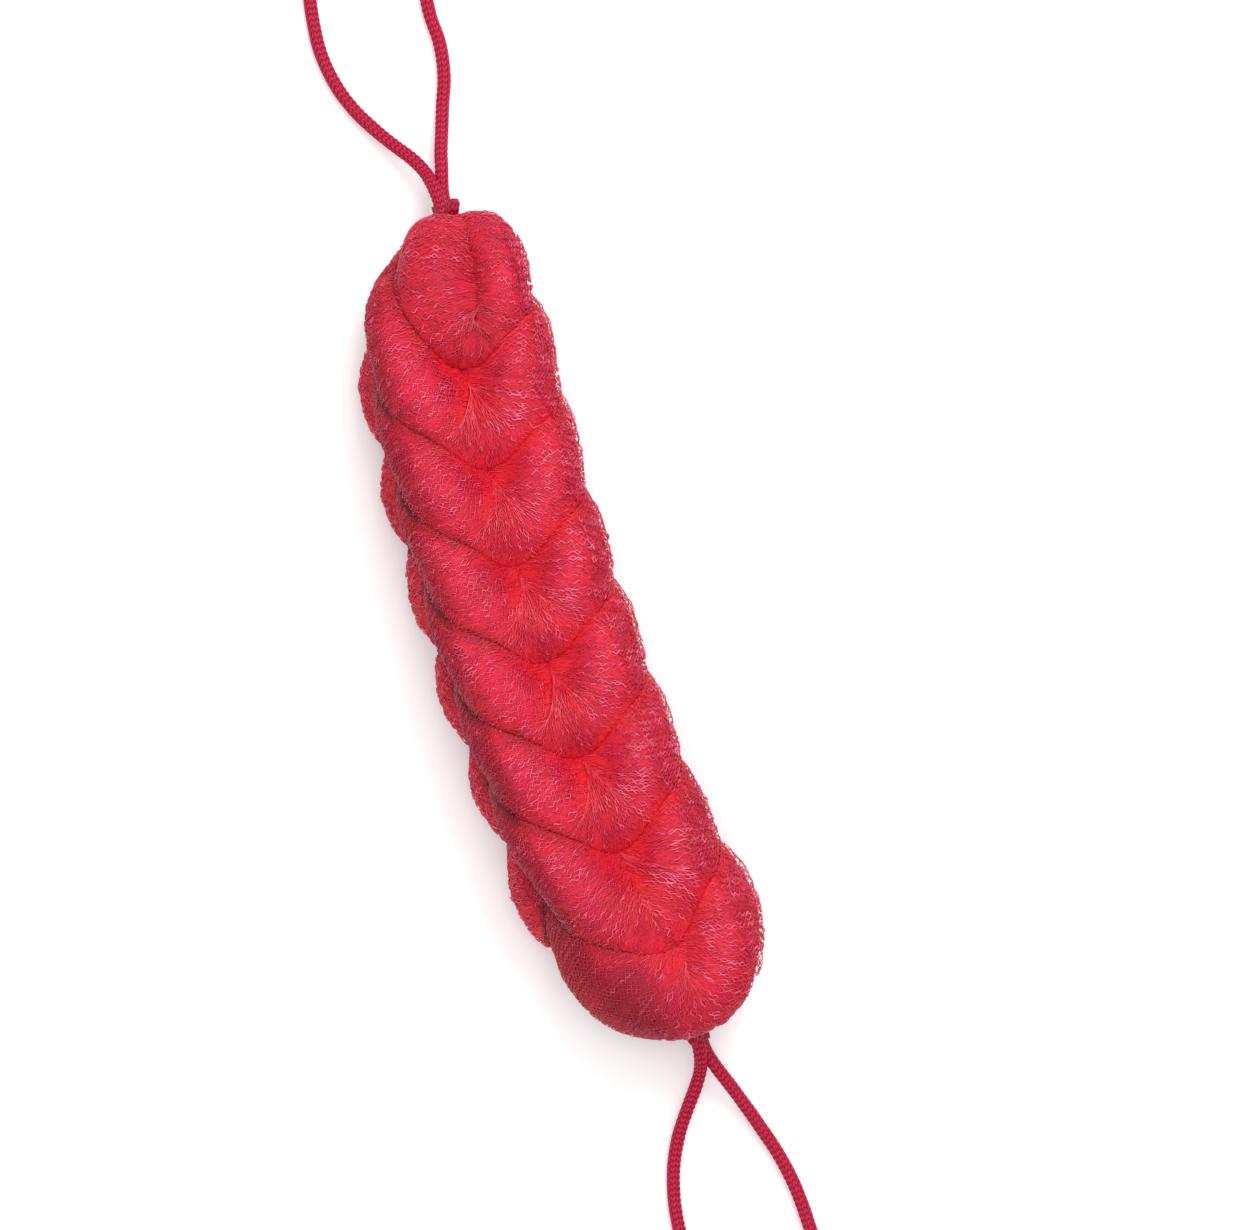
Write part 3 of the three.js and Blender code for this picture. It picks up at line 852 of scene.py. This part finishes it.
def add_net(shell, skin, rng, layer, where):
    """One layer's strands, where the grid called where is over a half and the skin is free."""
    steps = layer.steps
    count = int((skin.along[-1] - skin.along[0]) / layer.pitch)
    turn = np.arange(steps) / steps
    row = strand_rows(skin, rng, layer, count, turn)
    column = np.broadcast_to(turn * SIDES, row.shape)
    origin = read_grid(row, column, np.repeat(skin.origin[:, None, :], SIDES, axis=1))
    direction = unit(read_grid(row, column, skin.direction))
    reach = read_grid(row, column, skin.reach)
    free = read_grid(row, column, skin.free)
    tufts = ring_noise(rng, count, steps, int(count * layer.tufts), 31)
    height = rng.uniform(-0.12, 0.12, (count, 1)) + layer.lift + layer.fuzz * np.maximum(tufts, -0.7)
    rise = height * (0.4 + 0.6 * free)
    centre = origin + direction * (reach + rise)[:, :, None]
    centre[:, :, 2] = soft_floor(centre[:, :, 2], FLOOR + STRAND_GAP)
    thick = layer.thick * rng.uniform(0.75, 1.25, (count, 1, 1))
    points = strand_corners(centre, direction, thick)
    along = np.interp(row, np.arange(len(skin.along)), skin.along)
    angle = np.broadcast_to(turn * 2 * math.pi, row.shape)
    places = np.stack([along, np.cos(angle) * MEAN_RADIUS, np.sin(angle) * MEAN_RADIUS], axis=-1)
    strand_tone = 0.5 + rng.uniform(-0.15, 0.15, (count, 1))
    tone = strand_tone + 0.3 * tufts + 0.26 * ring_noise(rng, count, steps, count, 60)
    shown = (free > SHOWN) & (read_grid(row, column, where) > 0.5)
    shown |= np.roll(shown, 1, axis=1) & np.roll(shown, -1, axis=1)
    faces, used = run_faces(shown)
    renumber = np.cumsum(used) - 1

    def kept(values):
        return np.repeat(values.reshape(count * steps, -1), 3, axis=0)[used]

    shell.add(
        points.reshape(-1, 3)[used], [renumber[f] for f in faces], slot=1, tube=kept(places),
        crease=kept(read_grid(row, column, skin.crease)).ravel(), tone=kept(tone).ravel(),
        hollow=kept(read_grid(row, column, skin.hollow)).ravel(),
        crest=kept(read_grid(row, column, skin.crest)).ravel())


def run_faces(shown):
    """Sides and end faces of the three-sided strands' shown runs, and which corners they use."""
    count, steps = shown.shape
    following = np.roll(shown, -1, axis=1)
    i, j = np.nonzero(shown & following)
    first = (i * steps + j)[:, None] * 3
    second = (i * steps + (j + 1) % steps)[:, None] * 3
    k = np.arange(3)[None, :]
    k1 = (k + 1) % 3
    sides = np.stack([first + k, second + k, second + k1, first + k1], axis=-1).reshape(-1, 4)
    i, j = np.nonzero(shown & following & ~np.roll(shown, 1, axis=1))
    corner = (i * steps + j) * 3
    starts = np.stack([corner, corner + 1, corner + 2], axis=1)
    i, j = np.nonzero(shown & np.roll(shown, 1, axis=1) & ~following)
    corner = (i * steps + j) * 3
    ends = np.stack([corner + 2, corner + 1, corner], axis=1)
    used = np.zeros(count * steps * 3, bool)
    used[sides.ravel()] = True
    return [sides, np.vstack([starts, ends])], used


def make_stitches(materials):
    axis = Axis()
    strands = [Strand(number, axis) for number in range(1, STITCHES + 1)]
    for strand in strands:
        near = [other for other in strands if 1 <= abs(other.number - strand.number) <= 2]
        rng = np.random.default_rng(40 + strand.number)
        skin = Skin(strand, near, rng)
        shell = Shell()
        add_skin(shell, skin)
        add_net(shell, skin, rng, DENSE, 1 - skin.open)
        add_net(shell, skin, rng, OPEN, skin.open)
        add_net(shell, skin, rng, LOOSE, skin.loose)
        number = strand.number
        piece = shell.mesh(f"netting_stitch_{number}", materials)
        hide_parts(f"mesh_stitch_{number}")
        join_body(piece, number, axis)


ARM_BEND = (4, 34)                    # two places ahead of a stitch's centre, which join_body works out and uses no further


def join_body(piece, number, axis):
    """The last stitch follows its own body; the other stitches stay where they are made."""
    if number == STITCHES:
        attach(piece, f"stitch_{number}")
        return
    centre = axis.centre(number)
    start, end = axis.place(np.array([[centre + ahead, 0, 0] for ahead in ARM_BEND])) * MM
    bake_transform(piece)


# ------------------------------------------------------------------ the cords
# The routes repeat the CAD loops' points and go on along the two runs of the neck.
FLAT = 2.6                            # the cord's middle, where it lies on the surface
TOP_LOOP = [
    [167.1, -3.4, 11.4], [173, -0.6, 9.2], [180, 4.4, 6.6], [188, 9.8, 4.4], [197, 14.9, 3.0],
    [207.5, 18.7, FLAT], [219, 20.5, FLAT], [231, 20.0, FLAT], [243, 18.0, FLAT],
    [255, 14.6, FLAT], [266, 9.2, FLAT], [274, 1.6, FLAT], [277, -7.6, FLAT],
    [274.4, -17, FLAT], [266.4, -24, FLAT], [255.5, -26.4, FLAT],
    [244, -25, FLAT], [233, -21.8, FLAT], [222, -20.6, FLAT], [211, -21, FLAT],
    [200, -19.4, 2.9], [190, -16, 4.0], [180, -12.8, 6.6], [172.4, -10.4, 9.4], [167.1, -9.2, 11.4],
]
BOTTOM_LOOP = [
    [-164.9, -6.8, 11.4], [-170.4, -3.4, 9.4], [-177, 1.4, 7.0], [-185, 6.8, 4.6], [-195, 11.6, 3.0],
    [-206, 14.8, FLAT], [-217.5, 16.3, FLAT], [-229, 16.4, FLAT],
    [-241, 15.2, FLAT], [-252.6, 12, FLAT], [-262.4, 6, FLAT], [-268.4, -2.6, FLAT],
    [-268.6, -12.6, FLAT], [-263, -21, FLAT], [-253.6, -26.4, FLAT],
    [-242, -28.4, FLAT], [-229, -28.4, FLAT], [-215.6, -27.6, FLAT],
    [-202.4, -25.2, 2.9], [-190, -21.4, 4.2], [-178, -17.4, 6.8], [-170.4, -14.6, 9.4],
    [-164.9, -12.6, 11.4],
]
# The neck's runs from inside the netting to the loop: the first lies on top of the second.
TOP_FIRST_RUN = [[147.0, -5.0, 20.4], [153.0, -5.2, 18.9], [160.0, -4.9, 16.5]]
TOP_SECOND_RUN = [[160.0, -7.3, 12.2], [153.0, -6.6, 14.0], [147.0, -6.2, 15.6]]
BOTTOM_FIRST_RUN = [[-146.0, -9.0, 20.4], [-152.0, -9.0, 18.9], [-158.5, -8.6, 16.5]]
BOTTOM_SECOND_RUN = [[-158.5, -10.8, 12.2], [-152.0, -10.3, 14.0], [-146.0, -10.0, 15.6]]

OUTWARD = {"top": 1, "bottom": -1}    # the way along X in which each end's cord leaves
CORD_DIAMETER = 5.0
KNIT_COLUMNS = 7
KNIT_PITCH = 2.1                      # one stitch along the cord
KNIT_DEPTH = 0.55
CORD_SIDES = 42
CORD_STEP = 0.35
KNOT_CORD_RADIUS = 1.9                # the cord is pulled thin in its knot,
CUT_END_RADIUS = 2.0                  # and thins out where it is cut
THREAD_RADIUS = 0.36                  # of the binding's waxed thread
FRAYED_RADIUS = 0.22                  # of the netting's cut threads


def knit_relief(along, turn):
    """Height from 0 to 1 of the knitted stitches, columns of small Vs that point along the cord."""
    column = turn * KNIT_COLUMNS / (2 * math.pi)
    across = np.abs((column % 1) * 2 - 1)
    rise = along / KNIT_PITCH + 0.55 * across + 0.5 * (np.floor(column) % 2)
    leg = np.abs(np.sin(math.pi * rise)) ** 0.7
    column_edge = 1 - (1 - across) ** 3
    groove = 1 - np.exp(-((1 - across) / 0.22) ** 2)
    return np.clip(leg * (0.35 + 0.65 * groove) * (0.6 + 0.4 * column_edge), 0, 1)


def add_cord(shell, line, radius, rng):
    """A knitted cord along a line; both ends are closed."""
    line = respaced(np.array(line), CORD_STEP)
    _, side, across = carried_frames(line, (0, 0, 1))
    along = arc_lengths(line)
    turn = np.arange(CORD_SIDES) / CORD_SIDES * 2 * math.pi
    out = ring_directions(turn, side, across)
    relief = knit_relief(along[:, None], turn[None, :])
    unevenness = ring_noise(rng, len(line), CORD_SIDES, len(line) // 14 + 2, 4)
    reach = radius * (1 + 0.02 * unevenness) - KNIT_DEPTH * (1 - relief) * radius / 2.5
    taper = np.minimum(along, along[-1] - along)[:, None]
    reach = reach * np.clip(0.75 + taper / 1.2 * 0.25, 0, 1)
    points = line[:, None, :] + out * reach[:, :, None]
    everything = np.vstack([points.reshape(-1, 3), line[:1], line[-1:]])
    shades = np.concatenate([relief.ravel(), [0.3, 0.3]])
    places = with_first_and_last(seamless_places(along, CORD_SIDES, radius))
    shell.add(everything, tube_faces(len(line), CORD_SIDES), tube=places, relief=shades)
    return line


def make_hand_loop(place, route, first_run, second_run, material):
    rng = np.random.default_rng(7)
    shell = Shell()
    line = spline(first_run + route + second_run, CORD_STEP)
    line = add_cord(shell, line, CORD_DIAMETER / 2, rng)
    piece = shell.mesh(f"hand_loop_{place}", [material])
    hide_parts(f"handle_loop_{place}", f"cord_neck_{place}")
    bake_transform(piece)


def corners_of(node):
    """The low and the high corner of a CAD node's box, in millimetres."""
    low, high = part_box(node)
    return np.array(low) / MM, np.array(high) / MM


def make_knot(place, material):
    """An overhand knot, tied in the doubled cord inside the last stitch."""
    low, high = corners_of(f"stopper_knot_{place}")
    centre = (low + high) / 2
    t = np.linspace(0, 2 * math.pi, 160)
    reach = 1.62
    trefoil = np.stack([
        1.4 * np.sin(3 * t),
        reach * (np.sin(t) + 1.25 * np.sin(2 * t)),
        reach * (np.cos(t) - 1.25 * np.cos(2 * t)),
    ], axis=1)
    shell = Shell()
    add_cord(shell, trefoil[:-1] + centre, KNOT_CORD_RADIUS, np.random.default_rng(3))
    piece = shell.mesh(f"overhand_knot_{place}", [material])
    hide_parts(f"stopper_knot_{place}")
    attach(piece, f"neck_{place}")


def make_tail(place, material):
    """The cord's cut end, which starts at the knot in the netting."""
    low, high = corners_of(f"cord_tail_{place}")
    middle = (low + high) / 2
    half = (high[0] - low[0]) / 2 - 1
    aside = 1 if place == "top" else 0    # only the top one shows, at the neck's right
    steps = (
        (-4.5, 0, -6.5), (-2.6, -0.2, -2.4), (-1.6, -0.9, -0.2), (-0.8, -1.8, 0.6), (0.1, -2.5, 0.4),
    )
    route = [middle + np.array([x * OUTWARD[place] * half, y * aside, z]) for x, y, z in steps]
    shell = Shell()
    add_cord(shell, spline(route, CORD_STEP), CUT_END_RADIUS, np.random.default_rng(5))
    piece = shell.mesh(f"cut_end_{place}", [material])
    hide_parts(f"cord_tail_{place}")
    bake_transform(piece)


def make_binding(place, material):
    """Turns of waxed thread round the neck, which lean with it by 0.28 radians."""
    low, high = corners_of(f"binding_thread_{place}")
    centre = (low + high) / 2
    turns = 5
    t = np.linspace(0, turns * 2 * math.pi, turns * 24)
    half = (high - low) / 2 - 0.4
    spread = t / t[-1] * 2 - 1        # from one side of the winding to the other, in millimetres
    outward = OUTWARD[place]
    helix = np.stack([
        centre[0] + outward * (spread * math.cos(0.28) + 0.27 * half[2] * np.sin(t)),
        centre[1] + half[1] * np.cos(t),
        centre[2] + half[2] * 0.9 * np.sin(t) - spread * 0.27,
    ], axis=1)
    shell = Shell()
    add_plain_tube(shell, helix, THREAD_RADIUS, 8)
    piece = shell.mesh(f"whipping_{place}", [material])
    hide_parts(f"binding_thread_{place}")
    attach(piece, f"neck_{place}")


def add_plain_tube(shell, line, radius, sides):
    _, side, across = carried_frames(line, (0.3, 0.2, 1))
    turn = np.arange(sides) / sides * 2 * math.pi
    points = line[:, None, :] + ring_directions(turn, side, across) * radius
    everything = np.vstack([points.reshape(-1, 3), line[:1], line[-1:]])
    places = np.vstack([np.repeat(arc_lengths(line), sides)[:, None] * [1, 0, 0], np.zeros((2, 3))])
    shell.add(everything, tube_faces(len(line), sides), tube=places)


COLLAR_THREADS = 34


def make_collar(place, materials):
    """The netting's cut edge, a small frilled tab round the upper side of the neck."""
    low, high = corners_of(f"mesh_collar_{place}")
    outward = OUTWARD[place]
    centre = (low + high) / 2
    rng = np.random.default_rng(11)
    shell = Shell()
    steps = np.linspace(-1, 1, 9)
    for i in range(COLLAR_THREADS):
        angle = 2 * math.pi * i / COLLAR_THREADS
        lift = rng.uniform(-0.3, 0.5)
        frill = 0.45 * np.sin(steps * 5 + i * 1.9)
        reach = 3.6 + 0.6 * lift - 0.3 * (steps + 1) * rng.uniform(0.0, 0.8)
        turn = angle + frill * 0.22
        line = np.stack([
            centre[0] + outward * steps * 2.6,
            centre[1] + np.cos(turn) * reach,
            centre[2] - 1.5 - 0.6 * steps + np.sin(turn) * reach * 0.92,
        ], axis=1)
        add_plain_tube(shell, line, FRAYED_RADIUS, 5)
    piece = shell.mesh(f"netting_edge_{place}", materials)
    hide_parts(f"mesh_collar_{place}")
    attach(piece, f"neck_{place}")


# ------------------------------------------------------------------ the floor
def make_floor():
    half = 3.0
    mesh = bpy.data.meshes.new("floor")
    corners = [(-half, -half, 0), (half, -half, 0), (half, half, 0), (-half, half, 0)]
    mesh.from_pydata(corners, [], [(0, 1, 2, 3)])
    floor = bpy.data.objects.new("floor", mesh)
    bpy.context.scene.collection.objects.link(floor)
    mesh.materials.append(pale_floor())


# ------------------------------------------------------------------ the whole scene
make_camera()
make_lights()
make_floor()
cord_material = knitted_cord()
thread_material = waxed_thread()
net_materials = [netting_ground(), netting_strand()]
make_hand_loop("top", TOP_LOOP, TOP_FIRST_RUN, TOP_SECOND_RUN, cord_material)
make_hand_loop("bottom", BOTTOM_LOOP, BOTTOM_FIRST_RUN, BOTTOM_SECOND_RUN, cord_material)
for end_name in ("top", "bottom"):
    make_knot(end_name, cord_material)
    make_tail(end_name, cord_material)
    make_binding(end_name, thread_material)
    make_collar(end_name, [net_materials[1]])
make_stitches(net_materials)
